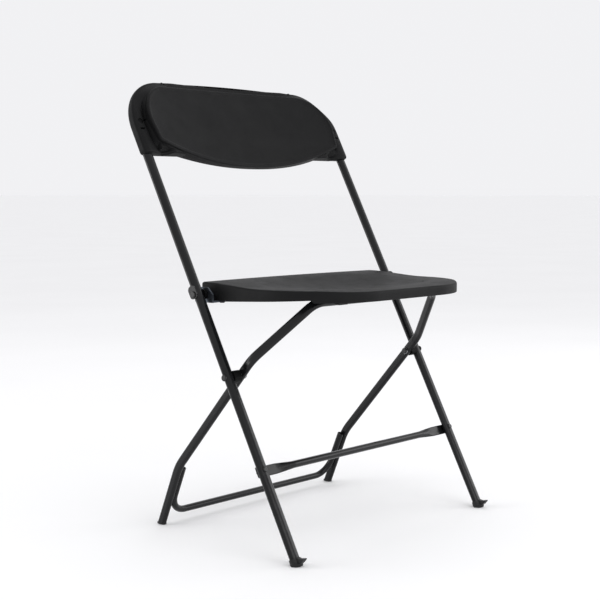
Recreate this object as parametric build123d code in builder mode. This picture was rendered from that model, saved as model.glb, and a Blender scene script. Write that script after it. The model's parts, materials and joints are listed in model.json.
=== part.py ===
"""Folding chair: leaning front tubes, an inverted-U rear frame and a moulded seat and backrest.

The chair faces -Y, +X is to the left of someone sitting on it, and Z = 0 is the floor. Millimetres.
"""

import os
from math import cos, radians, sin, sqrt, tan

from build123d import *

os.makedirs("parts", exist_ok=True)

# ---------------------------------------------------------------- driving dimensions
half_spread = 250.0        # centre plane to a front tube's axis
lean = 27.8                # front tubes, degrees back from upright
tube_x, tube_n = 19.0, 13.0  # flat-oval front tube, across the chair and front to back
tube_wall = 1.3
tube_start, tube_end = 7.5, 788.0  # along the front tube from the floor

leg_pivot_s = 316.6        # along the front tube to the rear frame's pivot
seat_pivot_s = 463.5       # along the front tube to the seat's pivot
crossbar_s = 156.9         # along the front tube to the crossbar

leg_x = 222.0              # centre plane to a rear leg's middle
leg_w, leg_t = 16.0, 10.0  # flat-sided leg, wide face and thickness
leg_wall = 1.4
leg_rake = 41.2            # rear legs, degrees from upright between the bends
foot_rake = 22.6           # rear legs below the lower bend
lower_bend_z = 107.6
shoulder_v, bar_v = 37.0, 159.5  # up the leg from its pivot: start of the shoulder, and the bar
bar_corner_x = 159.5
shoulder_radius, bar_radius, lower_bend_radius = 60.0, 26.0, 90.0

round_d, round_wall = 12.0, 1.4  # crossbar and rear brace
brace_z, brace_top_z, brace_radius = 19.8, 104.0, 36.0
flat_h, flat_t = 17.5, 3.0       # flattened crossbar end
flat_from, round_to = 212.0, 170.0
flat_past_tube = 4.8       # the flat end reaches this far past the tube's axis

pin_d, pin_fit = 8.0, 8.1  # pivot pin and its bore
running_gap = 0.3          # between faces that turn against each other
snug = 0.05                # radial play of a part in its seat

seat_half, seat_front, seat_rear = 222.0, -30.0, 236.0
seat_corner_front, seat_corner_rear = 124.0, 13.0
seat_rim_z, seat_crest_z = 421.5, 429.0
seat_skin, seat_skirt = 4.0, 3.6
seat_edge_round = 4.0
dish_depth, dish_radius, dish_y = 11.0, 700.0, 96.0
front_skirt_z, side_skirt_rear_z, side_skirt_front_z = 402.3, 397.2, 406.5
skirt_step_y = 22.0

back_half, back_top, back_base = 262.5, 863.0, 720.0  # backrest outline, along the front tubes
back_corner = 92.0
panel_base, panel_belly = 739.0, 40.0  # front panel's lower corners, and how far its middle hangs
back_front, back_rear = 22.0, -9.0  # backrest faces, from the plane of the front tubes
back_hollow = 20.0         # depth of the curve that the sitter leans in
back_skin, back_beam = 4.0, 24.0  # front wall, and the solid edge along the top
sleeve_x = 233.0           # inner face of the tube sleeves

depth_middle = 188.033     # from the front feet back to the middle of the chair's depth

# ---------------------------------------------------------------- frames and key points
# The parts are drawn with Y = 0 at the front feet and stored with Y = 0 at the middle of the depth.
sin_l, cos_l = sin(radians(lean)), cos(radians(lean))
tube_dir = Vector(0, sin_l, cos_l)
tube_front = Vector(0, -cos_l, sin_l)


def on_tubes(x, s, n=0.0):
    """A point at x across the chair, s up the front tubes and n in front of their plane."""
    return Vector(x, 0, 0) + tube_dir * s + tube_front * n


# x across the chair, y up the tubes, z out of their front
tube_plane = Plane(origin=(0, 0, 0), x_dir=(1, 0, 0), z_dir=tube_front)

leg_pivot = on_tubes(0, leg_pivot_s)
seat_pivot = on_tubes(0, seat_pivot_s)

sin_r, cos_r = sin(radians(leg_rake)), cos(radians(leg_rake))
leg_dir = Vector(0, -sin_r, cos_r)
# x across the chair, y up the legs, z out of their lower face, origin level with the leg pivot
leg_plane = Plane(origin=leg_pivot, x_dir=(1, 0, 0), z_dir=Vector(0, -cos_r, -sin_r))
lower_bend_v = (lower_bend_z - leg_pivot.Z) / cos_r
lower_bend = leg_pivot + leg_dir * lower_bend_v
foot_y = lower_bend.Y + lower_bend_z * tan(radians(foot_rake))
bar_center = leg_pivot + leg_dir * bar_v

sides = {"left": 1, "right": -1}


def save(part, name):
    part = part.moved(Location((0, -depth_middle, 0)))
    part.label = name
    export_step(part, f"parts/{name}.step")


def cylinder_x(y, z, x0, x1, diameter):
    """A cylinder along X from x0 to x1."""
    low, high = min(x0, x1), max(x0, x1)
    with BuildPart() as rod:
        with BuildSketch(Plane(origin=(low, y, z), x_dir=(0, 1, 0), z_dir=(1, 0, 0))):
            Circle(diameter / 2)
        extrude(amount=high - low)
    return rod.part


def cylinder_on(plane, x, y, z0, z1, diameter):
    """A cylinder along a plane's normal, from z0 to z1 of that plane."""
    with BuildPart() as rod:
        with BuildSketch(plane.offset(z0)):
            with Locations((x, y)):
                Circle(diameter / 2)
        extrude(amount=z1 - z0)
    return rod.part


def rivet_head(plane, x, y, z, diameter, height, outward=1):
    """A low dome standing on z of a plane."""
    with BuildPart() as head:
        with BuildSketch(plane.offset(z)):
            with Locations((x, y)):
                Circle(diameter / 2)
        extrude(amount=outward * height)
        rim = head.edges().filter_by(GeomType.CIRCLE).sort_by(
            Axis(plane.origin, plane.z_dir * outward))[-1]
        fillet(rim, height * 0.7)
    return head.part


def x_plane(side):
    """A plane facing out of one side of the chair, its own x forward-to-back and y up."""
    return Plane(origin=(0, 0, 0), x_dir=(0, side, 0), z_dir=(side, 0, 0))


# ---------------------------------------------------------------- front tubes
def oval_rod(x, s0, s1, grow=0.0):
    """The front tube's outer oval as a solid, grown all round."""
    with BuildPart() as rod:
        with BuildSketch(Plane(origin=on_tubes(x, s0), x_dir=(1, 0, 0), z_dir=tube_dir)):
            Ellipse(tube_x / 2 + grow, tube_n / 2 + grow)
        extrude(amount=s1 - s0)
    return rod.part


backrest_screw_s, backrest_screw_d = 779.0, 5.0
crossbar_rivet_d = 6.0

for name, side in sides.items():
    x = side * half_spread
    with BuildPart() as front_tube:
        add(oval_rod(x, tube_start, tube_end))
        add(oval_rod(x, tube_start, tube_end, -tube_wall), mode=Mode.SUBTRACT)
        add(cylinder_on(tube_plane, x, crossbar_s, -20, 20, crossbar_rivet_d + 2 * snug),
            mode=Mode.SUBTRACT)
        for point in (leg_pivot, seat_pivot):
            add(cylinder_x(point.Y, point.Z, x - 20, x + 20, pin_fit), mode=Mode.SUBTRACT)
        add(cylinder_on(tube_plane, x, backrest_screw_s, 0, 20, backrest_screw_d + 2 * snug),
            mode=Mode.SUBTRACT)
    save(front_tube.part, f"front_tube_{name}")

# ---------------------------------------------------------------- front feet
cap_x, cap_y, cap_h = 22.6, 19.5, 5.5
cap_sleeve_top = 11.0      # along the tube
toe_reach, toe_w = 16.5, 8.0

for name, side in sides.items():
    x = side * half_spread
    with BuildPart() as front_foot:
        with BuildSketch(Plane(origin=(x, 1.0, 0))):
            Ellipse(cap_x / 2, cap_y / 2)
        extrude(amount=cap_h)
        fillet(front_foot.faces().sort_by(Axis.Z)[0].edges(), 1.6)
        with BuildPart(mode=Mode.PRIVATE) as collar:
            add(oval_rod(x, 0, cap_sleeve_top, 1.6))
            with BuildSketch(Plane.XY):
                with Locations((x, 0)):
                    Rectangle(80, 80)
            extrude(amount=-40, mode=Mode.SUBTRACT)
        add(collar.part)
        with BuildSketch(Plane(origin=(x - toe_w / 2, 0, 0), x_dir=(0, 1, 0), z_dir=(1, 0, 0))):
            with BuildLine():
                Polyline((2, 3.5), (-7, 3.5), (-12.5, 7.6), (-toe_reach, 12.6),
                         (-toe_reach - 0.6, 14.6), (-toe_reach + 3.5, 14.0), (-7, 12.6),
                         (2, 13.5), close=True)
            make_face()
        extrude(amount=toe_w)
        add(oval_rod(x, tube_start, 60, snug), mode=Mode.SUBTRACT)
    save(front_foot.part, f"front_foot_{name}")

# ---------------------------------------------------------------- crossbar
bar_n = -tube_n / 2 - flat_t / 2   # its axis lies behind the front tubes
bar_plane = tube_plane.offset(bar_n)
bar_point = on_tubes(0, crossbar_s, bar_n)
bar_end = half_spread + flat_past_tube

with BuildPart() as front_crossbar:
    section_plane = Plane(origin=bar_point, x_dir=tube_dir, z_dir=(1, 0, 0))
    with BuildSketch(section_plane):
        Circle(round_d / 2)
    extrude(amount=round_to, both=True)
    for side in (1, -1):
        with BuildSketch(section_plane.offset(side * round_to)):
            Circle(round_d / 2)
        with BuildSketch(section_plane.offset(side * flat_from)):
            SlotOverall(flat_h, flat_t)
        loft()
        with BuildSketch(section_plane.offset(side * flat_from)):
            SlotOverall(flat_h, flat_t)
        extrude(amount=side * (bar_end - flat_from))
    with BuildSketch(section_plane):
        Circle(round_d / 2 - round_wall)
    extrude(amount=round_to, both=True, mode=Mode.SUBTRACT)
    for side in (1, -1):
        add(cylinder_on(tube_plane, side * half_spread, crossbar_s, -30, 5,
                        crossbar_rivet_d + 2 * snug), mode=Mode.SUBTRACT)
save(front_crossbar.part, "front_crossbar")

with BuildPart() as crossbar_rivets:
    for side in (1, -1):
        x = side * half_spread
        back = bar_n - flat_t / 2
        add(cylinder_on(tube_plane, x, crossbar_s, back, tube_n / 2, crossbar_rivet_d))
        add(rivet_head(tube_plane, x, crossbar_s, tube_n / 2, 9.0, 2.0))
        add(rivet_head(tube_plane, x, crossbar_s, back, 9.0, 1.8, outward=-1))
save(crossbar_rivets.part, "crossbar_rivets")

# ---------------------------------------------------------------- rear frame
junction_v = -120.0        # where the two sweeps that make a leg meet
crush_l, crush_w, crush_depth = 42.0, 12.6, 2.0


def bent_frame(width, thickness):
    """The whole inverted U with a flat-sided section, as one solid."""
    with BuildPart() as frame:
        with BuildLine(leg_plane) as upper:
            FilletPolyline((leg_x, junction_v), (leg_x, shoulder_v), (bar_corner_x, bar_v),
                           (-bar_corner_x, bar_v), (-leg_x, shoulder_v), (-leg_x, junction_v),
                           radius=(shoulder_radius, bar_radius, bar_radius, shoulder_radius))
        with BuildSketch(Plane(origin=upper.line @ 0, x_dir=leg_plane.z_dir, z_dir=leg_dir)):
            SlotOverall(width, thickness)
        sweep(path=upper.line)
        for side in (1, -1):
            start = leg_pivot + leg_dir * junction_v
            below = Vector(0, foot_y, 0) + (Vector(0, foot_y, 0) - lower_bend).normalized() * 20
            with BuildLine() as lower:
                FilletPolyline((side * leg_x, start.Y, start.Z),
                               (side * leg_x, lower_bend.Y, lower_bend.Z),
                               (side * leg_x, below.Y, below.Z), radius=lower_bend_radius)
            with BuildSketch(Plane(origin=lower.line @ 0, x_dir=leg_plane.z_dir, z_dir=leg_dir)):
                SlotOverall(width, thickness)
            sweep(path=lower.line)
    return frame.part


def leg_pad(side, x0, x1, length, width):
    """A round-ended block across a leg at its pivot, from x0 to x1."""
    low, high = sorted((side * x0, side * x1))
    with BuildPart() as pad:
        with BuildSketch(Plane(origin=(low, leg_pivot.Y, leg_pivot.Z), x_dir=leg_dir,
                               z_dir=(1, 0, 0))):
            SlotOverall(length, width)
        extrude(amount=high - low)
    return pad.part


rear_foot_h = 3.5
outer_leg_face = leg_x + leg_t / 2
inner_leg_face = leg_x - leg_t / 2

with BuildPart() as rear_frame:
    add(bent_frame(leg_w, leg_t))
    with BuildPart(mode=Mode.PRIVATE) as bore:
        add(bent_frame(leg_w - 2 * leg_wall, leg_t - 2 * leg_wall))
        for side in (1, -1):
            add(leg_pad(side, inner_leg_face - 5, outer_leg_face + 5, crush_l + 6, leg_w + 4),
                mode=Mode.SUBTRACT)
    add(bore.part, mode=Mode.SUBTRACT)
    for side in (1, -1):
        add(leg_pad(side, outer_leg_face - crush_depth, outer_leg_face + 5, crush_l, crush_w),
            mode=Mode.SUBTRACT)
        add(cylinder_x(leg_pivot.Y, leg_pivot.Z, side * (inner_leg_face - 5),
                       side * (outer_leg_face + 5), pin_fit), mode=Mode.SUBTRACT)
    with BuildSketch(Plane.XY.offset(rear_foot_h)):
        with Locations((0, foot_y)):
            Rectangle(600, 120)
    extrude(amount=-80, mode=Mode.SUBTRACT)
save(rear_frame.part, "rear_frame")

foot_dir = (lower_bend - Vector(0, foot_y, 0)).normalized()

for name, side in sides.items():
    with BuildPart() as rear_foot:
        foot_wide = leg_w / cos(radians(foot_rake))
        with BuildSketch(Plane.XY):
            with Locations((side * leg_x, foot_y - rear_foot_h / 2 * tan(radians(foot_rake)))):
                SlotOverall(foot_wide + 1.2, leg_t + 1.0, rotation=90)
        extrude(amount=rear_foot_h)
        fillet(rear_foot.faces().sort_by(Axis.Z)[0].edges(), 1.8)
        foot_origin = Vector(side * leg_x, foot_y, 0) + foot_dir * rear_foot_h
        with BuildSketch(Plane(origin=foot_origin, x_dir=(1, 0, 0), z_dir=foot_dir)):
            SlotOverall(leg_w - 2 * leg_wall - 2 * snug, leg_t - 2 * leg_wall - 2 * snug,
                        rotation=90)
        extrude(amount=16)
    save(rear_foot.part, f"rear_foot_{name}")

# ---------------------------------------------------------------- rear brace
brace_plane = Plane(origin=(0, foot_y, 0), x_dir=(1, 0, 0),
                    z_dir=Vector(0, -cos(radians(foot_rake)), -sin(radians(foot_rake))))
brace_x = inner_leg_face - round_d / 2
brace_low = brace_z / cos(radians(foot_rake))
brace_high = brace_top_z / cos(radians(foot_rake))

with BuildPart() as rear_brace:
    with BuildLine(brace_plane) as brace_path:
        FilletPolyline((brace_x, brace_high), (brace_x, brace_low), (-brace_x, brace_low),
                       (-brace_x, brace_high), radius=brace_radius)
    with BuildSketch(Plane(origin=brace_path.line @ 0, z_dir=brace_path.line % 0)):
        Circle(round_d / 2)
        Circle(round_d / 2 - round_wall, mode=Mode.SUBTRACT)
    sweep(path=brace_path.line)
save(rear_brace.part, "rear_brace")

# ---------------------------------------------------------------- leg pivots
washer_t, washer_d = 1.6, 11.8
head_d, head_h = 11.0, 2.4
crush_face = outer_leg_face - crush_depth
outer_washer = (crush_face + running_gap, crush_face + running_gap + washer_t)
inner_washer = (inner_leg_face - running_gap - washer_t, inner_leg_face - running_gap)
spacer_l, spacer_w, spacer_round = 19.0, 15.0, 6.0
spacer_wrap = 3.0          # how far it reaches round the tube
tube_out = half_spread + tube_x / 2

for name, side in sides.items():
    with BuildPart() as spacer:
        spacer_end = half_spread - tube_x / 2 + spacer_wrap
        low, high = sorted((side * (outer_leg_face + running_gap), side * spacer_end))
        with BuildSketch(Plane(origin=(low, leg_pivot.Y, leg_pivot.Z), x_dir=tube_dir,
                               z_dir=(1, 0, 0))):
            RectangleRounded(spacer_l, spacer_w, spacer_round)
        extrude(amount=high - low)
        add(cylinder_x(leg_pivot.Y, leg_pivot.Z, side * outer_washer[1],
                       side * (outer_leg_face + 3), washer_d))
        add(oval_rod(side * half_spread, leg_pivot_s - 40, leg_pivot_s + 40, snug),
            mode=Mode.SUBTRACT)
        add(cylinder_x(leg_pivot.Y, leg_pivot.Z, side * 200, side * 260, pin_fit),
            mode=Mode.SUBTRACT)
    save(spacer.part, f"leg_pivot_spacer_{name}")

    with BuildPart() as washers:
        for x0, x1 in (outer_washer, inner_washer):
            add(cylinder_x(leg_pivot.Y, leg_pivot.Z, side * x0, side * x1, washer_d))
        add(cylinder_x(leg_pivot.Y, leg_pivot.Z, side * 200, side * 240, pin_fit),
            mode=Mode.SUBTRACT)
    save(washers.part, f"leg_pivot_washers_{name}")

    with BuildPart() as leg_rivet:
        add(cylinder_x(leg_pivot.Y, leg_pivot.Z, side * inner_washer[0], side * tube_out, pin_d))
        face = x_plane(side)
        pivot_uv = (side * leg_pivot.Y, leg_pivot.Z)
        add(rivet_head(face, *pivot_uv, tube_out, head_d, head_h))
        add(rivet_head(face, *pivot_uv, inner_washer[0], head_d, head_h, outward=-1))
    save(leg_rivet.part, f"leg_pivot_rivet_{name}")

# ---------------------------------------------------------------- seat pivots
bracket_t = 3.0
tube_in = half_spread - tube_x / 2
seat_washer_t = 3.4
bracket_out = tube_in - seat_washer_t - running_gap
bracket_in = bracket_out - bracket_t
plate_t = 2.0
plate_l, plate_w, plate_round = 22.0, 17.0, 7.0
plate_shift = 4.0          # its middle lies this far up the tube from the pivot

for name, side in sides.items():
    face = x_plane(side)
    pivot_uv = (side * seat_pivot.Y, seat_pivot.Z)
    pin_hole = cylinder_x(seat_pivot.Y, seat_pivot.Z, side * 200, side * 280, pin_fit)
    with BuildPart() as pivot_plate:
        with BuildSketch(Plane(origin=(side * tube_out, seat_pivot.Y, seat_pivot.Z),
                               x_dir=tube_dir, z_dir=(side, 0, 0))):
            with Locations((plate_shift, 0)):
                RectangleRounded(plate_l, plate_w, plate_round)
        extrude(amount=plate_t)
        add(pin_hole, mode=Mode.SUBTRACT)
    save(pivot_plate.part, f"seat_pivot_plate_{name}")

    with BuildPart() as seat_washer:
        add(cylinder_x(seat_pivot.Y, seat_pivot.Z, side * (tube_in - seat_washer_t),
                       side * (tube_in + 2), 17))
        add(oval_rod(side * half_spread, seat_pivot_s - 30, seat_pivot_s + 30, snug),
            mode=Mode.SUBTRACT)
        add(pin_hole, mode=Mode.SUBTRACT)
    save(seat_washer.part, f"seat_pivot_washer_{name}")

    with BuildPart() as seat_rivet:
        add(cylinder_x(seat_pivot.Y, seat_pivot.Z, side * (bracket_in - running_gap),
                       side * (tube_out + plate_t), pin_d))
        add(rivet_head(face, *pivot_uv, tube_out + plate_t, head_d, head_h))
        add(rivet_head(face, *pivot_uv, bracket_in - running_gap, head_d, head_h, outward=-1))
    save(seat_rivet.part, f"seat_pivot_rivet_{name}")

# ---------------------------------------------------------------- seat shell
def seat_block(inset, z0, z1):
    """The seat's plan outline as a block: wide front corners and tight rear ones."""
    half, front, rear = seat_half - inset, seat_front + inset, seat_rear - inset
    big, small = seat_corner_front - inset, seat_corner_rear - inset
    with BuildPart() as block:
        with BuildSketch(Plane.XY.offset(z0)):
            with BuildLine():
                Line((-half + small, rear), (half - small, rear))
                RadiusArc((half - small, rear), (half, rear - small), small)
                Line((half, rear - small), (half, front + big))
                RadiusArc((half, front + big), (half - big, front), big)
                Line((half - big, front), (-half + big, front))
                RadiusArc((-half + big, front), (-half, front + big), big)
                Line((-half, front + big), (-half, rear - small))
                RadiusArc((-half, rear - small), (-half + small, rear), small)
            make_face()
        extrude(amount=z1 - z0)
    return block.part


def side_profile(points, x0, x1):
    """An outline in Y and Z carried from x0 to x1."""
    with BuildPart() as body:
        with BuildSketch(Plane(origin=(x0, 0, 0), x_dir=(0, 1, 0), z_dir=(1, 0, 0))):
            with BuildLine():
                Polyline(*points, close=True)
            make_face()
        extrude(amount=x1 - x0)
    return body.part


crest_from, crest_flat = 188.0, 222.0      # the rear edge rises between these
crest_radius = 9000.0                      # and falls away towards the corners
flange_z, flange_y = 399.0, 199.0          # seat bracket flange, top face and front end
boss_x = 186.0                             # solid corners over the flanges start here
rear_lip_z = 405.0


def seat_top(drop, inset):
    """The solid under the seat's top surface, lowered by drop and pulled in by inset."""
    rim, crest = seat_rim_z - drop, seat_crest_z - drop
    wide = seat_half + 10
    with BuildPart() as slab:
        add(seat_block(inset, 380, rim))
        if inset == 0:
            top_edges = slab.edges().group_by(Axis.Z)[-1].filter_by(lambda e: e.center().Y < 190)
            fillet(top_edges, seat_edge_round)
        with BuildPart(mode=Mode.PRIVATE) as ridge:
            add(seat_block(inset, 380, crest))
            add(side_profile([(crest_from, 380), (crest_from, rim), (crest_flat, crest),
                              (300, crest), (300, 380)], -wide, wide), mode=Mode.INTERSECT)
            with BuildSketch(Plane.XZ):
                with Locations((0, crest - crest_radius)):
                    Circle(crest_radius)
            extrude(amount=-300, mode=Mode.INTERSECT)
        add(ridge.part)
        with Locations((0, dish_y, seat_rim_z - dish_depth + dish_radius)):
            Sphere(dish_radius + drop, mode=Mode.SUBTRACT)
    return slab.part


with BuildPart() as underside:
    add(seat_top(seat_skin, seat_skirt))
    for side in (1, -1):
        low, high = sorted((side * boss_x, side * 260))
        add(side_profile([(flange_y - 6, 370), (flange_y - 6, 440), (260, 440), (260, 370)],
                         low, high), mode=Mode.SUBTRACT)

saddle_x, saddle_w = 112.0, 60.0           # the hooks that rest on the rear frame's bar
saddle_hook_w = 22.0
saddle_screw_d, saddle_screw_dx, saddle_screw_y = 4.0, 21.0, 46.0
saddle_flange_t = 3.0
bracket_screw_d, bracket_screw_x = 5.0, 204.0
bracket_screw_ys = (208.0, 226.0)
screw_bite = 3.0                           # how far the small screws enter the seat's skin


def ceiling_at(x, y):
    """Height of the seat's lower surface under the dish."""
    run = (dish_radius + seat_skin) ** 2 - x * x - (y - dish_y) ** 2
    return min(seat_rim_z - seat_skin, seat_rim_z - dish_depth + dish_radius - sqrt(run))


saddle_screws = [(side * (saddle_x + dx), saddle_screw_y)
                 for side in (1, -1) for dx in (-saddle_screw_dx, saddle_screw_dx)]

with BuildPart() as seat_shell:
    add(seat_top(0, 0))
    add(underside.part, mode=Mode.SUBTRACT)
    wide = seat_half + 10
    # the skirt is deeper at the rear of the sides and steps down where the front lip begins
    add(side_profile([(-60, 370), (-60, front_skirt_z), (skirt_step_y, front_skirt_z),
                      (skirt_step_y, side_skirt_front_z), (flange_y - 2, side_skirt_rear_z),
                      (flange_y - 2, flange_z), (260, flange_z), (260, 370)], -wide, wide),
        mode=Mode.SUBTRACT)
    add(side_profile([(flange_y - 10, 370), (flange_y - 10, rear_lip_z), (260, rear_lip_z),
                      (260, 370)], -boss_x, boss_x), mode=Mode.SUBTRACT)
    for x, y in saddle_screws:
        top = ceiling_at(x, y)
        add(cylinder_on(Plane.XY, x, y, top - 10, top + screw_bite, saddle_screw_d + 2 * snug),
            mode=Mode.SUBTRACT)
    for side in (1, -1):
        for y in bracket_screw_ys:
            add(cylinder_on(Plane.XY, side * bracket_screw_x, y, flange_z - 5, flange_z + 13,
                            bracket_screw_d + 2 * snug), mode=Mode.SUBTRACT)
save(seat_shell.part, "seat_shell")

# ---------------------------------------------------------------- seat brackets
bracket_foot_x = 191.0
bracket_chamfer = 11.5

for name, side in sides.items():
    top_z, front_y, back_y = seat_rim_z - 0.5, 197.0, 238.0
    low, high = sorted((side * bracket_in, side * bracket_out))
    with BuildPart() as seat_bracket:
        add(side_profile([(front_y, flange_z - bracket_t), (front_y, top_z - bracket_chamfer),
                          (front_y + bracket_chamfer, top_z), (back_y - 6, top_z),
                          (back_y, top_z - 6), (back_y, flange_z - bracket_t)], low, high))
        inner, outer = sorted((side * bracket_foot_x, side * bracket_out))
        add(side_profile([(flange_y, flange_z - bracket_t), (flange_y, flange_z),
                          (back_y - 3, flange_z), (back_y - 3, flange_z - bracket_t)],
                         inner, outer))
        add(cylinder_x(seat_pivot.Y, seat_pivot.Z, low - 2, high + 2, pin_fit),
            mode=Mode.SUBTRACT)
        for y in bracket_screw_ys:
            add(cylinder_on(Plane.XY, side * bracket_screw_x, y, flange_z - 9, flange_z + 3,
                            bracket_screw_d + 2 * snug), mode=Mode.SUBTRACT)
    save(seat_bracket.part, f"seat_bracket_{name}")

with BuildPart() as seat_bracket_screws:
    base = flange_z - bracket_t
    for side in (1, -1):
        for y in bracket_screw_ys:
            x = side * bracket_screw_x
            add(cylinder_on(Plane.XY, x, y, base, flange_z + 12, bracket_screw_d))
            add(rivet_head(Plane.XY, x, y, base, 9.0, 2.2, outward=-1))
save(seat_bracket_screws.part, "seat_bracket_screws")

# ---------------------------------------------------------------- bar saddles
bar_gap = 0.4
hook_front, hook_back, hook_low = 24.0, 60.0, 395.0

for name, side in sides.items():
    x0, x1 = side * saddle_x - saddle_w / 2, side * saddle_x + saddle_w / 2
    with BuildPart() as bar_saddle:
        add(side_profile([(hook_front, hook_low), (hook_front, 430), (hook_back, 430),
                          (hook_back, 403)], side * saddle_x - saddle_hook_w / 2,
                         side * saddle_x + saddle_hook_w / 2))
        add(side_profile([(saddle_screw_y - 9, 400), (saddle_screw_y - 9, 430),
                          (saddle_screw_y + 9, 430), (saddle_screw_y + 9, 400)], x0, x1))
        add(underside.part, mode=Mode.INTERSECT)
        # room for the bar, open down and back, the way it leaves when the chair folds
        with BuildSketch(Plane(origin=(x0 - 5, bar_center.Y, bar_center.Z), x_dir=(0, 1, 0),
                               z_dir=(1, 0, 0))):
            with BuildLine():
                reach = leg_w / 2 + bar_gap
                Polyline((-reach, -40), (-reach, -1.5), (-reach + 4.5, reach - 0.7),
                         (2.5, reach - 0.7), (40, reach - 10), (40, -40), close=True)
            make_face()
        extrude(amount=saddle_w + 10, mode=Mode.SUBTRACT)
        for x, y in saddle_screws:
            if x * side > 0:
                add(cylinder_on(Plane.XY, x, y, 380, 430, saddle_screw_d + 2 * snug),
                    mode=Mode.SUBTRACT)
                # thin the wings to a flange of even thickness
                base = ceiling_at(x, y) - saddle_flange_t
                add(cylinder_on(Plane.XY, x, y, 380, base, 16), mode=Mode.SUBTRACT)
    save(bar_saddle.part, f"bar_saddle_{name}")

with BuildPart() as bar_saddle_screws:
    for x, y in saddle_screws:
        top = ceiling_at(x, y)
        add(cylinder_on(Plane.XY, x, y, top - saddle_flange_t, top + screw_bite, saddle_screw_d))
        add(rivet_head(Plane.XY, x, y, top - saddle_flange_t, 7.5, 2.0, outward=-1))
save(bar_saddle_screws.part, "bar_saddle_screws")

# ---------------------------------------------------------------- backrest
front_inset_side, front_inset_top = 28.5, 20.0
rear_round = 12.5          # radius of the rear edge
full_from, full_to = back_rear + rear_round, 7.5  # the outline is full size between these
panel_rear, panel_inset = -3.0, 3.0
rib_t, rib_xs = 2.6, (-150.0, -75.0, 0.0, 75.0, 150.0)
curve_radius = (sleeve_x ** 2 + back_hollow ** 2) / (2 * back_hollow)


def back_outline(n, side_inset=0.0, top_inset=0.0, base=back_base, belly=0.0):
    """The backrest's outline at n, as a face: rounded upper corners, a straight or hanging base."""
    half, top = back_half - side_inset, back_top - top_inset
    corner = back_corner - (side_inset + top_inset) / 2
    with BuildSketch(tube_plane.offset(n)) as sketch:
        with BuildLine():
            Line((-half, base), (-half, top - corner))
            RadiusArc((-half, top - corner), (-half + corner, top), corner)
            Line((-half + corner, top), (half - corner, top))
            RadiusArc((half - corner, top), (half, top - corner), corner)
            Line((half, top - corner), (half, base))
            if belly:
                ThreePointArc((half, base), (0, base - belly), (-half, base))
            else:
                Line((half, base), (-half, base))
        make_face()
    return sketch.sketch


def curve_cutter(drop):
    """Everything in front of the hollow front face, moved back by drop."""
    with BuildPart() as cutter:
        center = on_tubes(0, 500, back_front - back_hollow + curve_radius)
        with BuildSketch(Plane(origin=center, x_dir=(1, 0, 0), z_dir=tube_dir)):
            Circle(curve_radius + drop)
        extrude(amount=600)
    return cutter.part


with BuildPart() as backrest:
    extrude(back_outline(back_rear), amount=full_to - back_rear, dir=tube_front)
    rear_face = backrest.faces().sort_by(Axis((0, 0, 0), tube_front))[0]
    fillet(rear_face.edges().sort_by(Axis((0, 0, 0), tube_dir))[1:], rear_round)
    extrude(back_outline(panel_rear, panel_inset, panel_inset, panel_base, panel_belly),
            amount=full_from - panel_rear, dir=tube_front)
    extrude(back_outline(full_from, base=panel_base, belly=panel_belly),
            amount=full_to - full_from, dir=tube_front)
    add(back_outline(full_to, base=panel_base, belly=panel_belly))
    add(back_outline(back_front, front_inset_side, front_inset_top, panel_base, panel_belly))
    loft()
    add(curve_cutter(0), mode=Mode.SUBTRACT)
    with BuildPart(mode=Mode.PRIVATE) as hollow:
        extrude(back_outline(back_rear - 5, back_half - sleeve_x + 1, back_beam,
                             back_base + back_skin),
                amount=back_front - back_rear, dir=tube_front)
        add(curve_cutter(back_skin), mode=Mode.SUBTRACT)
        for x in rib_xs:
            with BuildSketch(tube_plane.offset(back_rear - 10)):
                with Locations((x, back_base + 50)):
                    Rectangle(rib_t, 300)
            extrude(amount=60, mode=Mode.SUBTRACT)
    add(hollow.part, mode=Mode.SUBTRACT)
    for side in (1, -1):
        x = side * half_spread
        add(oval_rod(x, back_base - 60, tube_end, snug), mode=Mode.SUBTRACT)
        add(cylinder_on(tube_plane, x, backrest_screw_s, 0, 40, backrest_screw_d + 2 * snug),
            mode=Mode.SUBTRACT)
        add(cylinder_on(tube_plane, x, backrest_screw_s, tube_n / 2 + 2.5, 40, 9.4),
            mode=Mode.SUBTRACT)
save(backrest.part, "backrest")

with BuildPart() as backrest_screws:
    for side in (1, -1):
        x = side * half_spread
        seat_n = tube_n / 2 + 2.5
        add(cylinder_on(tube_plane, x, backrest_screw_s, tube_n / 2 - tube_wall - 1.5, seat_n,
                        backrest_screw_d))
        add(rivet_head(tube_plane, x, backrest_screw_s, seat_n, 9.0, 2.0))
save(backrest_screws.part, "backrest_screws")
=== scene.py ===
"""Looks for the folding chair: a moulded seat and backrest, finishes, camera, light and floor."""

import json
import math

import bmesh
import bpy
import numpy as np
from mathutils import Matrix, Vector


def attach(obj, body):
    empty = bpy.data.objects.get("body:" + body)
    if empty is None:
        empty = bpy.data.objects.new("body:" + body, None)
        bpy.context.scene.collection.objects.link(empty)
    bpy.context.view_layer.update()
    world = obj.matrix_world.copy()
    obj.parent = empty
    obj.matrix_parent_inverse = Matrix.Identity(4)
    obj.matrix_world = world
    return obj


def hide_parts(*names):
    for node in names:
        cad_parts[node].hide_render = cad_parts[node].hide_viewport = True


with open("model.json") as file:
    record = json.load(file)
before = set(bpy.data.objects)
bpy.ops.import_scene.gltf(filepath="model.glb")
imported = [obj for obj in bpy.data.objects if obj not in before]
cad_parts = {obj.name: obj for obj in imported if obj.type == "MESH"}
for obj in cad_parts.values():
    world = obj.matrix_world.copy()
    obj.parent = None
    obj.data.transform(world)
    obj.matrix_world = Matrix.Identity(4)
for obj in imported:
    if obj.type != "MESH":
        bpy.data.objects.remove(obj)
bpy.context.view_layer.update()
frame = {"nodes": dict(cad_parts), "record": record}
MM = 0.001


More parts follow.
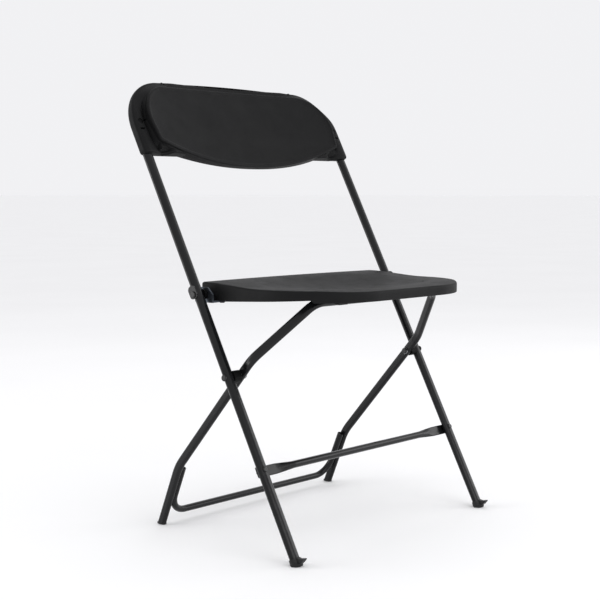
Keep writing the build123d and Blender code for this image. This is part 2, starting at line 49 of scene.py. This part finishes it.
# ---------------------------------------------------------------- node helpers
class Shader:
    """A short way to write a node material."""

    def __init__(self, name):
        self.material = bpy.data.materials.new(name)
        self.material.use_nodes = True
        self.tree = self.material.node_tree
        self.tree.nodes.clear()
        self.surface = self.add("ShaderNodeBsdfPrincipled")
        self.link(self.surface, "BSDF", self.add("ShaderNodeOutputMaterial"), "Surface")
        self.coords = self.add("ShaderNodeTexCoord")

    def add(self, kind):
        return self.tree.nodes.new(kind)

    def link(self, a, a_socket, b, b_socket):
        self.tree.links.new(a.outputs[a_socket], b.inputs[b_socket])

    def set(self, **values):
        """Values on the shader's own sockets, named with _ for each space."""
        for key, value in values.items():
            self.surface.inputs[key.replace("_", " ")].default_value = value

    def noise(self, scale, detail, rough, stretch=None, distortion=0.0):
        """Noise in the object's own metres, drawn out along an axis where stretch is small."""
        node = self.add("ShaderNodeTexNoise")
        node.inputs["Scale"].default_value = scale
        node.inputs["Detail"].default_value = detail
        node.inputs["Roughness"].default_value = rough
        node.inputs["Distortion"].default_value = distortion
        if stretch:
            mapping = self.add("ShaderNodeMapping")
            mapping.inputs["Scale"].default_value = stretch
            self.link(self.coords, "Object", mapping, "Vector")
            self.link(mapping, "Vector", node, "Vector")
        else:
            self.link(self.coords, "Object", node, "Vector")
        return node

    def ramp(self, source, stops):
        """A colour ramp over a noise, its stops given as colours or as plain greys."""
        node = self.add("ShaderNodeValToRGB")
        elements = node.color_ramp.elements
        while len(elements) < len(stops):
            elements.new(0.5)
        for element, (position, value) in zip(elements, stops):
            element.position = position
            rgb = value if isinstance(value, tuple) else (value, value, value)
            element.color = (*rgb, 1.0)
        self.link(source, "Fac", node, "Fac")
        return node

    def bump(self, layers):
        """Bumps from (noise, strength, distance) layers, one over the other."""
        last = None
        for source, strength, distance in layers:
            node = self.add("ShaderNodeBump")
            node.inputs["Strength"].default_value = strength
            node.inputs["Distance"].default_value = distance
            self.link(source, "Fac", node, "Height")
            if last:
                self.link(last, "Normal", node, "Normal")
            last = node
        self.link(last, "Normal", self.surface, "Normal")


def moulded_plastic(name, dark, light, rough, grain, specular=0.3):
    """Black moulded plastic: fine spark-eroded grain, faint flow marks and handling marks."""
    s = Shader(name)
    flow = s.noise(9.0, 3.0, 0.5, stretch=(1.0, 2.2, 2.2), distortion=0.4)
    colour = s.ramp(flow, [(0.3, dark), (0.7, light)])
    s.link(colour, "Color", s.surface, "Base Color")
    smudge = s.noise(26.0, 5.0, 0.6, distortion=0.8)
    finish = s.ramp(smudge, [(0.3, rough - 0.05), (0.55, rough), (0.8, rough + 0.08)])
    s.link(finish, "Color", s.surface, "Roughness")
    fine = s.noise(2600.0, 2.0, 0.6)
    ripple = s.noise(38.0, 2.0, 0.4)
    s.bump([(fine, grain, 0.00025), (ripple, 0.05, 0.002)])
    s.set(Specular_IOR_Level=specular)
    return s.material


def black_enamel(name, dark, light, rough, coat, specular):
    """Baked black enamel on steel tube: slight orange peel, dust-dulled patches, thin scratches."""
    s = Shader(name)
    cloud = s.noise(14.0, 4.0, 0.55)
    colour = s.ramp(cloud, [(0.3, dark), (0.72, light)])
    s.link(colour, "Color", s.surface, "Base Color")
    dull = s.noise(60.0, 5.0, 0.62)
    finish = s.ramp(dull, [(0.3, rough - 0.06), (0.6, rough), (0.82, rough + 0.1)])
    s.link(finish, "Color", s.surface, "Roughness")
    peel = s.noise(520.0, 2.0, 0.5)
    scratch = s.noise(240.0, 3.0, 0.7, stretch=(3.0, 3.0, 0.12))
    s.bump([(peel, 0.12, 0.0004), (scratch, 0.04, 0.0003)])
    s.set(Specular_IOR_Level=specular, Coat_Weight=coat, Coat_Roughness=0.14)
    return s.material


def bare_metal(name, dark, light, rough):
    """Plated or bare metal: fine turning marks and a mottled tone."""
    s = Shader(name)
    mottle = s.noise(180.0, 4.0, 0.6)
    colour = s.ramp(mottle, [(0.3, dark), (0.7, light)])
    s.link(colour, "Color", s.surface, "Base Color")
    marks = s.noise(420.0, 3.0, 0.65, stretch=(1.0, 14.0, 14.0))
    finish = s.ramp(marks, [(0.3, rough - 0.07), (0.7, rough + 0.08)])
    s.link(finish, "Color", s.surface, "Roughness")
    s.bump([(marks, 0.15, 0.0002)])
    s.set(Metallic=1.0)
    return s.material


finishes = {
    "black_plastic": moulded_plastic("moulded_black", (0.0058, 0.0059, 0.0062),
                                     (0.0078, 0.0079, 0.0082), 0.56, 0.3, specular=0.11),
    "foot_plastic": moulded_plastic("foot_black", (0.006, 0.006, 0.0063),
                                    (0.010, 0.010, 0.0104), 0.5, 0.4),
    # spacer plastic: darker and less glossy than the other black plastic, which paints the shade
    # between the front tube and the rear leg onto the spacer
    "spacer_plastic": moulded_plastic("spacer_black_painted_shade", (0.002, 0.002, 0.0021),
                                      (0.0035, 0.0035, 0.0037), 0.6, 0.3, specular=0.08),
    "saddle_plastic": moulded_plastic("saddle_black", (0.005, 0.005, 0.0053),
                                      (0.0085, 0.0085, 0.009), 0.5, 0.3),
    "black_steel": black_enamel("black_enamel", (0.006, 0.0062, 0.0068),
                                (0.009, 0.0092, 0.0099), 0.2, coat=0.08, specular=0.2),
    "rivet_steel": black_enamel("rivet_enamel", (0.008, 0.008, 0.0085),
                                (0.013, 0.013, 0.0135), 0.32, coat=0.1, specular=0.3),
    "washer_steel": bare_metal("washer_bright", (0.30, 0.31, 0.32), (0.46, 0.47, 0.48), 0.34),
    "zinc_steel": bare_metal("zinc_plate", (0.060, 0.068, 0.082), (0.10, 0.112, 0.13), 0.42),
    # screw metal: near-black, darkened so that it paints the shade inside the backrest's
    # counterbores onto the screw heads
    "screw_steel": bare_metal("screw_dark_painted_shade", (0.008, 0.008, 0.0084), (0.015, 0.015, 0.0156), 0.5),
}

for row in frame["record"]["subparts"]:
    node = frame["nodes"][row["node"]]
    for material_slot in node.material_slots:
        material_slot.link = "OBJECT"
        material_slot.material = finishes[row["material_slot"]]


# ---------------------------------------------------------------- mesh helpers
def ring_mesh(name, rings, first_point, last_point):
    """A closed mesh through rings of points, shut at both ends on one point each."""
    count = rings.shape[1]
    verts = [first_point, *rings.reshape(-1, 3), last_point]
    last = len(verts) - 1
    faces = []
    for i in range(count):
        j = (i + 1) % count
        faces.append((0, 1 + j, 1 + i))
        end = 1 + (len(rings) - 1) * count
        faces.append((last, end + i, end + j))
        for k in range(len(rings) - 1):
            a, b = 1 + k * count, 1 + (k + 1) * count
            faces.append((a + i, a + j, b + j, b + i))
    mesh = bpy.data.meshes.new(name)
    mesh.from_pydata([tuple(v) for v in verts], [], faces)
    mesh.update()
    return mesh


def tidy_normals(mesh):
    """Normals that all point out, and smooth faces."""
    work = bmesh.new()
    work.from_mesh(mesh)
    bmesh.ops.recalc_face_normals(work, faces=work.faces)
    for face in work.faces:
        face.smooth = True
    work.to_mesh(mesh)
    work.free()
    return mesh


def place(name, mesh):
    """A new object of the scene with that mesh."""
    obj = bpy.data.objects.new(name, tidy_normals(mesh))
    bpy.context.scene.collection.objects.link(obj)
    return obj


def apply_modifiers(obj):
    """Turns the modified shape into the object's own mesh."""
    graph = bpy.context.evaluated_depsgraph_get()
    mesh = bpy.data.meshes.new_from_object(obj.evaluated_get(graph))
    obj.modifiers.clear()
    old = obj.data
    obj.data = mesh
    bpy.data.meshes.remove(old)


def join(target, others):
    """Adds the other objects' meshes to the target as separate closed shells."""
    work = bmesh.new()
    work.from_mesh(target.data)
    for other in others:
        other.data.transform(other.matrix_world)
        work.from_mesh(other.data)
        bpy.data.objects.remove(other)
    work.to_mesh(target.data)
    work.free()


CREASE = math.radians(38.0)


def soften(obj):
    """Smooth shading that breaks at creases."""
    mesh = obj.data
    work = bmesh.new()
    work.from_mesh(mesh)
    for face in work.faces:
        face.smooth = True
    for edge in work.edges:
        edge.smooth = not (len(edge.link_faces) == 2 and edge.calc_face_angle(0.0) > CREASE)
    work.to_mesh(mesh)
    work.free()


def finish_piece(obj, slot_name, body, *nodes):
    """Gives a piece its finish, the body it rides on and the CAD nodes that it stands for."""
    obj.data.materials.clear()
    obj.data.materials.append(finishes[slot_name])
    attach(obj, body)
    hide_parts(*nodes)


def smoothstep(value, low, high):
    """Rises from 0 at low to 1 at high without a corner."""
    t = np.clip((value - low) / (high - low), 0.0, 1.0)
    return t * t * (3 - 2 * t)


def radial(outline, centre, angles):
    """Where rays from the centre at those angles meet a closed star-shaped outline."""
    rel = outline - centre
    around = np.unwrap(np.arctan2(rel[:, 1], rel[:, 0]))
    if around[-1] < around[0]:
        around, rel = around[::-1], rel[::-1]
    around = np.concatenate([around - 2 * math.pi, around, around + 2 * math.pi])
    reach = np.tile(np.hypot(rel[:, 0], rel[:, 1]), 3)
    start = around[0]
    wrapped = (angles - start) % (2 * math.pi) + start + 2 * math.pi
    wrapped = np.where(wrapped > around[-1], wrapped - 2 * math.pi, wrapped)
    distance = np.interp(wrapped, around, reach)
    return centre + np.stack([np.cos(angles), np.sin(angles)], 1) * distance[:, None]


def arc(centre, radius, start, stop, count):
    """Points along an arc, from one angle in degrees to another."""
    turn = np.radians(np.linspace(start, stop, count))
    return np.stack([centre[0] + radius * np.cos(turn), centre[1] + radius * np.sin(turn)], 1)


def dense(points):
    """A closed outline sampled every millimetre."""
    closed = np.vstack([points, points[:1]])
    seg = np.hypot(*np.diff(closed, axis=0).T)
    along = np.concatenate([[0], np.cumsum(seg)])
    keep = np.concatenate([[True], np.diff(along) > 1e-9])
    at = np.arange(0, along[-1], 1.0)
    return np.stack([np.interp(at, along[keep], closed[keep, k]) for k in (0, 1)], 1)


def block(low, high, to_world, bevel):
    """A box between two corners in millimetres, carried over by to_world, its edges bevelled."""
    work = bmesh.new()
    bmesh.ops.create_cube(work, size=1.0)
    for v in work.verts:
        at = [a + (part + 0.5) * (b - a) for a, b, part in zip(low, high, v.co)]
        v.co = to_world(*at)
    if bevel:
        bmesh.ops.bevel(work, geom=work.edges, offset=bevel * MM, segments=2, affect="EDGES")
    mesh = bpy.data.meshes.new("block")
    work.to_mesh(mesh)
    work.free()
    return place("block", mesh)


def inward(outline):
    """Unit vectors into a counter-clockwise closed outline, one a point."""
    tangent = np.roll(outline, -1, 0) - np.roll(outline, 1, 0)
    tangent /= np.hypot(tangent[:, 0], tangent[:, 1])[:, None] + 1e-12
    return np.stack([-tangent[:, 1], tangent[:, 0]], 1)


# ---------------------------------------------------------------- backrest
# x across the chair, s up the front tubes, n in front of their plane, all in millimetres
LEAN = math.radians(27.8)
DEPTH_MIDDLE = 188.033     # from the front feet back to the middle of the depth, where y is 0
UP = np.array([0.0, math.sin(LEAN), math.cos(LEAN)])
OUT = np.array([0.0, -math.cos(LEAN), math.sin(LEAN)])
FEET = np.array([0.0, -DEPTH_MIDDLE, 0.0])


def on_back(x, s, n):
    """Points in metres from x, s and n."""
    x, s, n = np.broadcast_arrays(x, s, n)
    across = x[..., None] * np.array([1.0, 0.0, 0.0])
    return (FEET + across + s[..., None] * UP + n[..., None] * OUT) * MM


HOLLOW_MIDDLE, HOLLOW_DEPTH, HOLLOW_HALF = 2.0, 20.0, 234.0


def hollow(x):
    """How far forward the sitter's side of the panel is at x."""
    return HOLLOW_MIDDLE + HOLLOW_DEPTH * np.minimum(1.0, np.abs(x) / HOLLOW_HALF) ** 2


BACK_HALF, BACK_TOP, BACK_BASE = 262.5, 866.5, 720.0
BACK_CENTRE = np.array([0.0, 788.0])
REAR_N = -9.0              # the plane of the rear edge
SHELL_SET_BACK = 2.2       # the shell's front, behind the panel's


def crowned(x, top, drop, width):
    """A top edge that falls away by drop at a width from the middle."""
    return top - drop * np.minimum(1.3, (np.abs(x) / width) ** 2)


def shell_outline():
    """The rear shell from in front: wide upper corners, small lower ones, a straight base."""
    corner, low, drop = 90.0, 7.0, 4.5
    side_top = BACK_TOP - drop - corner
    xs = np.linspace(BACK_HALF - corner, -BACK_HALF + corner, 60)
    points = np.vstack([
        arc((BACK_HALF - low, BACK_BASE + low), low, -90, 0, 8),
        arc((BACK_HALF - corner, side_top), corner, 0, 90, 50),
        np.stack([xs, crowned(xs, BACK_TOP, drop, BACK_HALF - corner)], 1),
        arc((-BACK_HALF + corner, side_top), corner, 90, 180, 50),
        arc((-BACK_HALF + low, BACK_BASE + low), low, 180, 270, 8),
    ])
    return dense(points)


def panel_outline():
    """The front panel, narrower at its lower corners, with a base that hangs in the middle."""
    half, low_half, top, corner, low = 236.0, 230.0, 857.0, 72.0, 9.0
    drop, base_middle, base_rise = 6.0, 701.0, 35.0
    xs_top = np.linspace(half - corner, -half + corner, 60)
    xs = np.linspace(-low_half + low, low_half - low, 90)
    belly = base_middle + base_rise * (np.abs(xs) / (low_half - low)) ** 2.2
    base = belly[0]
    points = np.vstack([
        np.stack([xs, belly], 1),
        arc((low_half - low, base + low), low, -70, 0, 10),
        arc((half - corner, top - drop - corner), corner, 0, 90, 50),
        np.stack([xs_top, crowned(xs_top, top, drop, half - corner)], 1),
        arc((-half + corner, top - drop - corner), corner, 90, 180, 50),
        arc((-low_half + low, base + low), low, 180, 250, 10),
    ])
    return dense(points)


AROUND = 420
outer = shell_outline()
outer_rel = outer - BACK_CENTRE
pick = np.linspace(0, len(outer), AROUND, endpoint=False).astype(int)
back_angles = np.arctan2(outer_rel[pick, 1], outer_rel[pick, 0])
outer = radial(outer, BACK_CENTRE, back_angles)
outer_in = inward(outer)
ridge = radial(panel_outline(), BACK_CENTRE, back_angles)


def sleeve(x):
    """The rounded front of the tube sleeves, flatter inside the crest than outside it."""
    crest_x, crest_n = 251.5, 12.0
    inner_drop, inner_run, outer_drop, outer_run = 3.4, 19.0, 4.2, 11.0
    t = np.abs(x) - crest_x
    inner_fall = inner_drop * (t / inner_run) ** 2
    outer_fall = outer_drop * (t / outer_run) ** 2
    return crest_n - np.where(t < 0, inner_fall, outer_fall)


TOP_EDGE_N = 7.0           # front of the shell's top edge
GROOVE_N, GROOVE_RUN_OUT = 5.0, 4.0  # floor of the groove, and how much it rises at its lower end


def band(points, share):
    """Front of the rear shell, at a share of the way from the panel's edge to the outline.

    Beside the panel it sinks into a groove and climbs onto the tube's sleeve. Along the top it
    falls straight to the outline, and under the panel it follows the panel's back.
    """
    x, s = points[:, 0], points[:, 1]
    share = np.broadcast_to(share, x.shape)
    under = hollow(x) - SHELL_SET_BACK
    along_top = under * (1 - share) + np.clip(under, 0.0, TOP_EDGE_N) * share
    groove = GROOVE_N + GROOVE_RUN_OUT * (1 - smoothstep(s, 728.0, 750.0))
    down = under + (groove - under) * smoothstep(share, 0.0, 0.28)
    side = down + (sleeve(x) - down) * smoothstep(share, 0.24, 0.42)
    beside = smoothstep(np.abs(x), 196.0, 222.0)
    high = smoothstep(s, 785.0, 842.0)
    return (side * beside + under * (1 - beside)) * (1 - high) + along_top * high


def back_ring(points, n):
    """A ring of points in metres from an outline in x and s, at n."""
    return on_back(points[:, 0], points[:, 1], n)


def front_rounding(outline, into, face_n, radius, steps):
    """Rings that turn a front face at face_n into the side wall on the outline."""
    rings = []
    for k in range(1, steps + 1):
        turn = math.pi / 2 * k / steps
        inset = radius * (1 - math.sin(turn))
        rings.append(back_ring(outline + into * inset, face_n - radius * (1 - math.cos(turn))))
    return rings


def rear_rounding(outline, into, wall_n, radius, steps):
    """Rings that turn the side wall, from wall_n back, into the face behind."""
    rings = []
    for k in range(steps + 1):
        turn = math.pi / 2 * k / steps
        inset = radius * (1 - math.cos(turn))
        rings.append(back_ring(outline + into * inset, wall_n - radius * math.sin(turn)))
    return rings


def cavity_outline():
    """The opening of the hollow behind the backrest, its upper corners cut in two steps."""
    base, top = 725.0, 845.0
    corner = [(228.0, base), (228.0, 800.0), (214.0, 832.0), (190.0, top)]
    points = corner + [(-x, s) for x, s in reversed(corner)]
    return radial(dense(np.array(points)), BACK_CENTRE, back_angles)


def backrest_shell():
    """The rear shell: front face with its sleeves, rounded side wall and a hollow behind."""
    rings = []
    front_round, rear_round = 4.0, 10.0
    middle_back, floor_back = 3.2, 6.4  # the shell's front and the hollow's floor, behind the panel
    lip = outer + outer_in * front_round
    reach = np.hypot(*(lip - BACK_CENTRE).T) / np.hypot(*(ridge - BACK_CENTRE).T)
    start = BACK_CENTRE + (ridge - BACK_CENTRE) * np.minimum(0.985, 0.96 * reach)[:, None]
    for share in (0.06, 0.3, 0.6, 0.85):
        inside = BACK_CENTRE + (start - BACK_CENTRE) * share
        rings.append(back_ring(inside, hollow(inside[:, 0]) - middle_back))
    for share in np.linspace(0.0, 1.0, 22):
        here = start * (1 - share) + lip * share
        rings.append(back_ring(here, band(here, share)))
    edge_n = band(lip, np.ones(AROUND))
    rings += front_rounding(outer, outer_in, edge_n, front_round, 6)
    wall_n = REAR_N + rear_round
    rings.append(back_ring(outer, np.minimum(edge_n - front_round, (edge_n + wall_n) / 2)))
    rings += rear_rounding(outer, outer_in, wall_n, rear_round, 8)
    cavity = cavity_outline()
    cavity_in = inward(cavity)
    rings.append(back_ring(cavity - cavity_in * 1.2, REAR_N))
    rings.append(back_ring(cavity, REAR_N + 1.0))
    floor_n = hollow(cavity[:, 0]) - floor_back
    rings.append(back_ring(cavity + cavity_in * 0.6, np.maximum(floor_n - 2.5, REAR_N + 1.2)))
    rings.append(back_ring(cavity + cavity_in * 2.6, floor_n))
    for share in (0.85, 0.6, 0.3, 0.06):
        inside = BACK_CENTRE + (cavity - BACK_CENTRE) * share
        rings.append(back_ring(inside, hollow(inside[:, 0]) - floor_back))
    ends = on_back(0.0, BACK_CENTRE[1], hollow(0.0) - np.array([middle_back, floor_back]))
    return ring_mesh("backrest_shell", np.array(rings), *ends)


def backrest_panel():
    """The raised front panel: a hollow face, a bead just inside its edge and a thin wall."""
    into = inward(ridge)
    edge_round, wall_in, skin, rear_round = 2.6, 4.2, 4.6, 1.2
    rings = []
    lip = ridge + into * edge_round
    bead_foot = ridge + into * 8.0
    for share in np.linspace(0.05, 1.0, 22):
        here = BACK_CENTRE + (bead_foot - BACK_CENTRE) * share
        rings.append(back_ring(here, hollow(here[:, 0])))
    for inset, lift in ((6.6, 0.35), (5.4, 0.9), (4.2, 1.15)):
        here = ridge + into * inset
        rings.append(back_ring(here, hollow(here[:, 0]) + lift))
    edge_n = hollow(lip[:, 0]) + 0.9
    rings.append(back_ring(lip, edge_n))
    rings += front_rounding(ridge, into, edge_n, edge_round, 6)
    rear = np.full(AROUND, REAR_N + 1.4)
    rings.append(back_ring(ridge, (edge_n - edge_round) * 0.5 + rear * 0.5))
    rings += rear_rounding(ridge, into, rear + rear_round, rear_round, 3)
    inner = ridge + into * wall_in
    rings.append(back_ring(inner, rear))
    floor_n = hollow(inner[:, 0]) - skin
    rings.append(back_ring(inner, np.minimum(rear + 0.6, floor_n)))
    rings.append(back_ring(inner + into * 0.8, floor_n))
    for share in (0.85, 0.6, 0.3, 0.05):
        here = BACK_CENTRE + (inner - BACK_CENTRE) * share
        rings.append(back_ring(here, hollow(here[:, 0]) - skin))
    ends = on_back(0.0, BACK_CENTRE[1], hollow(0.0) - np.array([0.0, skin]))
    return ring_mesh("backrest_panel", np.array(rings), *ends)


def back_block(xs, ss, ns, bevel):
    """A small box in the backrest's own directions, from a pair of values along each."""
    low, high = zip(sorted(xs), ss, ns)
    return block(low, high, on_back, bevel)


def back_cylinder(x, s, n0, n1, radius):
    """A cylinder square to the front tubes' plane."""
    work = bmesh.new()
    bmesh.ops.create_cone(work, cap_ends=True, segments=40, radius1=radius * MM,
                          radius2=radius * MM, depth=(n1 - n0) * MM)
    centre = Vector(on_back(x, s, (n0 + n1) / 2))
    turn = Vector(OUT).to_track_quat("Z", "Y").to_matrix().to_4x4()
    bmesh.ops.transform(work, matrix=Matrix.Translation(centre) @ turn, verts=work.verts)
    mesh = bpy.data.meshes.new("cylinder")
    work.to_mesh(mesh)
    work.free()
    return place("cylinder", mesh)


def cut(target, cutters):
    """Takes the cutters' shapes out of the target."""
    for cutter in cutters:
        modifier = target.modifiers.new("cut", "BOOLEAN")
        modifier.operation = "DIFFERENCE"
        modifier.solver = "EXACT"
        modifier.object = cutter
    apply_modifiers(target)
    for cutter in cutters:
        bpy.data.objects.remove(cutter)


SCREW_X, SCREW_S, SCREW_FLOOR, COUNTERBORE_R = 250.0, 779.0, 8.9, 4.9
FAR_OUT = 30.0             # in front of everything
SLOT_XS, SLOT_SS = (246.5, 255.5), (763.0, 766.2)  # across the sleeve, below the screw
GAP_XS, GAP_SS = (229.0, 242.0), (781.0, 784.0)    # in the groove, beside the screw
NOTCH_X, NOTCH_HALF = 160.0, 1.4  # a notch in the top edge, with a pip beside it
RIB_XS, RIB_HALF, RIB_FROM, RIB_TO = (-150.0, -75.0, 0.0, 75.0, 150.0), 1.3, 722.0, 847.0
RIB_BACK, RIB_FRONT = REAR_N + 1.5, 5.1  # rear edge, and how far behind the panel's face it ends

backrest = place("backrest_moulding", backrest_shell())
holes = []
for side in (1, -1):
    counterbore = back_cylinder(side * SCREW_X, SCREW_S, SCREW_FLOOR, FAR_OUT, COUNTERBORE_R)
    slot = back_block([side * x for x in SLOT_XS], SLOT_SS, (6.0, FAR_OUT), 0)
    gap = back_block([side * x for x in GAP_XS], GAP_SS, (3.0, FAR_OUT), 0)
    notch_xs = (side * (NOTCH_X - NOTCH_HALF), side * (NOTCH_X + NOTCH_HALF))
    notch = back_block(notch_xs, (857.0, 875.0), (3.0, 12.0), 0)
    holes += [counterbore, slot, gap, notch]
cut(backrest, holes)
extras = [place("panel", backrest_panel())]
for side in (1, -1):
    pip_xs = (side * (NOTCH_X + 2.0), side * (NOTCH_X + 6.0))
    extras.append(back_block(pip_xs, (856.0, 861.8), (3.6, 7.4), 0.6))
for x in RIB_XS:
    rib_ns = (RIB_BACK, float(hollow(x)) - RIB_FRONT)
    extras.append(back_block((x - RIB_HALF, x + RIB_HALF), (RIB_FROM, RIB_TO), rib_ns, 0.5))
join(backrest, extras)
soften(backrest)
finish_piece(backrest, "black_plastic", "front_frame", "backrest")


# ---------------------------------------------------------------- seat
SEAT_HALF, SEAT_FRONT, SEAT_REAR = 222.0, -30.0, 240.0
SEAT_CENTRE = np.array([0.0, 103.0])
RIM_Z, CREST_Z = 421.5, 429.2
DISH_DEPTH, DISH_HALF, DISH_LENGTH, DISH_Y = 12.5, 190.0, 126.0, 110.0
REAR_LIP_Z = 405.0
BOSS_X, BOSS_OUT_X = 186.0, 217.5    # solid rear corners that stand on the seat brackets
BOSS_Y, BOSS_REAR_Y = 194.0, 228.0
BOSS_Z, BOSS_TOP_Z = 399.0, 420.0


def seat_outline():
    """The seat from above: a straight front between wide corners, and tight rear corners."""
    big, small = 138.0, 6.0
    bow = np.linspace(-SEAT_HALF + big, SEAT_HALF - big, 50)
    points = np.vstack([
        np.stack([bow, np.full(50, SEAT_FRONT)], 1),
        arc((SEAT_HALF - big, SEAT_FRONT + big), big, -90, 0, 60),
        arc((SEAT_HALF - small, SEAT_REAR - small), small, 0, 90, 24),
        arc((-SEAT_HALF + small, SEAT_REAR - small), small, 90, 180, 24),
        arc((-SEAT_HALF + big, SEAT_FRONT + big), big, 180, 270, 60),
    ])
    return dense(points)


def seat_top(x, y):
    """Height of the seat's upper surface: a dish, a raised rear edge and a front that falls away."""
    reach = (x / DISH_HALF) ** 2 + ((y - DISH_Y) / DISH_LENGTH) ** 2
    dish = DISH_DEPTH * np.clip(1 - reach, 0, 1) ** 1.5
    crown = 1 - 0.15 * (np.abs(x) / SEAT_HALF) ** 2
    rear = (CREST_Z - RIM_Z) * smoothstep(y, 110.0, 232.0) * crown
    front = 2.6 * smoothstep(-y, -22.0, 32.0)
    return RIM_Z - dish + rear - front


def seat_hem(x, y):
    """Height of the skirt's lower edge: front lip, rising step, falling sides, rear lip."""
    front_z, step_z, side_fall = 402.3, 406.5, 9.3
    side = step_z - side_fall * np.clip((y - 22.0) / 175.0, 0, 1)
    behind_step = smoothstep(y, 18.0, 24.0)
    hem = front_z * (1 - behind_step) + side * behind_step
    over_bracket = smoothstep(y, 195, 199)
    hem = hem * (1 - over_bracket) + BOSS_Z * over_bracket
    rear = smoothstep(y, 195, 200) * (1 - smoothstep(np.abs(x), BOSS_X - 2, BOSS_X + 2))
    return hem * (1 - rear) + REAR_LIP_Z * rear


def in_seat(x, y, z):
    """Points in metres from x, y behind the front feet and z above the floor."""
    x, y, z = np.broadcast_arrays(x, y - DEPTH_MIDDLE, z)
    return np.stack([x, y, z], -1) * MM


def seat_ring(points, z):
    """A ring of points in metres from an outline in x and y, at z."""
    return in_seat(points[:, 0], points[:, 1], z)


def seat_mesh():
    """The seat: dished top, rounded edge, skirt and the hollow underneath."""
    outline = seat_outline()
    rel = outline - SEAT_CENTRE
    at = np.linspace(0, len(outline), 480, endpoint=False).astype(int)
    angles = np.arctan2(rel[at, 1], rel[at, 0])
    rim = radial(outline, SEAT_CENTRE, angles)
    into = inward(rim)
    edge, edge_steps, skirt, skin = 4.2, 7, 3.6, 4.0
    lip = rim + into * edge
    rings = []
    for share in np.linspace(0.03, 1.0, 34):
        here = SEAT_CENTRE + (lip - SEAT_CENTRE) * share
        rings.append(seat_ring(here, seat_top(here[:, 0], here[:, 1])))
    lip_z = seat_top(lip[:, 0], lip[:, 1])
    for k in range(1, edge_steps + 1):
        turn = math.pi / 2 * k / edge_steps
        here = rim + into * edge * (1 - math.sin(turn))
        rings.append(seat_ring(here, lip_z - edge * (1 - math.cos(turn))))
    hem = seat_hem(rim[:, 0], rim[:, 1])
    for share in (0.4, 0.8):
        rings.append(seat_ring(rim, (lip_z - edge) * (1 - share) + hem * share))
    rings.append(seat_ring(rim, hem + 0.8))
    rings.append(seat_ring(rim + into * 0.8, hem))
    rings.append(seat_ring(rim + into * (skirt - 0.6), hem))
    rings.append(seat_ring(rim + into * skirt, hem + 0.6))
    inner = rim + into * (skirt + 1.6)
    floor_z = seat_top(inner[:, 0], inner[:, 1]) - skin
    rings.append(seat_ring(rim + into * (skirt + 0.4), floor_z - 2.0))
    rings.append(seat_ring(inner + into * 1.2, floor_z - 0.2))
    for share in (0.94, 0.85, 0.7, 0.5, 0.3, 0.1):
        here = SEAT_CENTRE + (inner - SEAT_CENTRE) * share
        rings.append(seat_ring(here, seat_top(here[:, 0], here[:, 1]) - skin))
    ends = in_seat(*SEAT_CENTRE, seat_top(*SEAT_CENTRE) - np.array([0.0, skin]))
    return ring_mesh("seat_moulding", np.array(rings), *ends)


seat = place("seat_moulding", seat_mesh())
bosses = []
for side in (1, -1):
    x0, x1 = sorted((side * BOSS_X, side * BOSS_OUT_X))
    corners = (x0, BOSS_Y, BOSS_Z), (x1, BOSS_REAR_Y, BOSS_TOP_Z)
    bosses.append(block(*corners, in_seat, 0.8))
join(seat, bosses)
soften(seat)
finish_piece(seat, "black_plastic", "seat", "seat_shell")


# ---------------------------------------------------------------- camera
camera_data = bpy.data.cameras.new("camera")
camera_data.sensor_width = 36.0
camera_data.lens = 75.522
camera_data.shift_x = 0.0036
camera_data.shift_y = 0.0498
camera_data.clip_start = 0.05
camera = bpy.data.objects.new("camera", camera_data)
bpy.context.scene.collection.objects.link(camera)
YAW, PITCH = math.radians(-48.0), math.radians(6.156)
camera.location = (-1.6604, -1.2716 - DEPTH_MIDDLE * MM, 0.5722)
camera.rotation_euler = (math.radians(90) - PITCH, 0.0, YAW)
bpy.context.scene.camera = camera


# ---------------------------------------------------------------- floor and light
FLOOR_HALF, FLOOR_DROP = 400.0, 0.0006
CHAIR_MIDDLE = (0.0, 0.0, 0.4)


def stage_floor():
    """A flat pale floor, so wide that its edge lies on the horizon."""
    work = bmesh.new()
    bmesh.ops.create_grid(work, x_segments=2, y_segments=2, size=FLOOR_HALF)
    mesh = bpy.data.meshes.new("floor")
    work.to_mesh(mesh)
    work.free()
    floor = bpy.data.objects.new("floor", mesh)
    bpy.context.scene.collection.objects.link(floor)
    floor.location.z = -FLOOR_DROP
    s = Shader("floor_pale")
    tone = s.noise(1.4, 3.0, 0.5)
    colour = s.ramp(tone, [(0.3, 0.965), (0.7, 0.985)])
    s.link(colour, "Color", s.surface, "Base Color")
    s.set(Roughness=0.9, Specular_IOR_Level=0.1)
    mesh.materials.append(s.material)


def soft_light(name, place_at, size, power):
    """A rectangular lamp that looks at the middle of the chair."""
    data = bpy.data.lights.new(name, "AREA")
    data.shape = "RECTANGLE"
    data.size, data.size_y = size
    data.energy = power
    light = bpy.data.objects.new(name, data)
    bpy.context.scene.collection.objects.link(light)
    light.location = place_at
    aim = Vector(CHAIR_MIDDLE) - Vector(place_at)
    light.rotation_euler = aim.to_track_quat("-Z", "Y").to_euler()


stage_floor()
soft_light("key", (-0.3, -3.0, 1.2), (2.2, 1.4), 20)
soft_light("front", (2.4, -1.9, 1.2), (1.8, 1.4), 18)
soft_light("side", (2.9, -0.9, 1.5), (0.2, 2.0), 3.0)
soft_light("fill", (-2.4, 2.1, 0.9), (1.5, 1.5), 26)
soft_light("top", (2.0, 1.2, 2.4), (1.4, 1.4), 3.5)

world = bpy.data.worlds.new("studio")
world.use_nodes = True
backdrop = world.node_tree.nodes["Background"]
backdrop.inputs["Color"].default_value = (0.98, 0.98, 1.0, 1.0)
backdrop.inputs["Strength"].default_value = 0.9
bpy.context.scene.world = world
bpy.context.scene.view_settings.view_transform = "Standard"
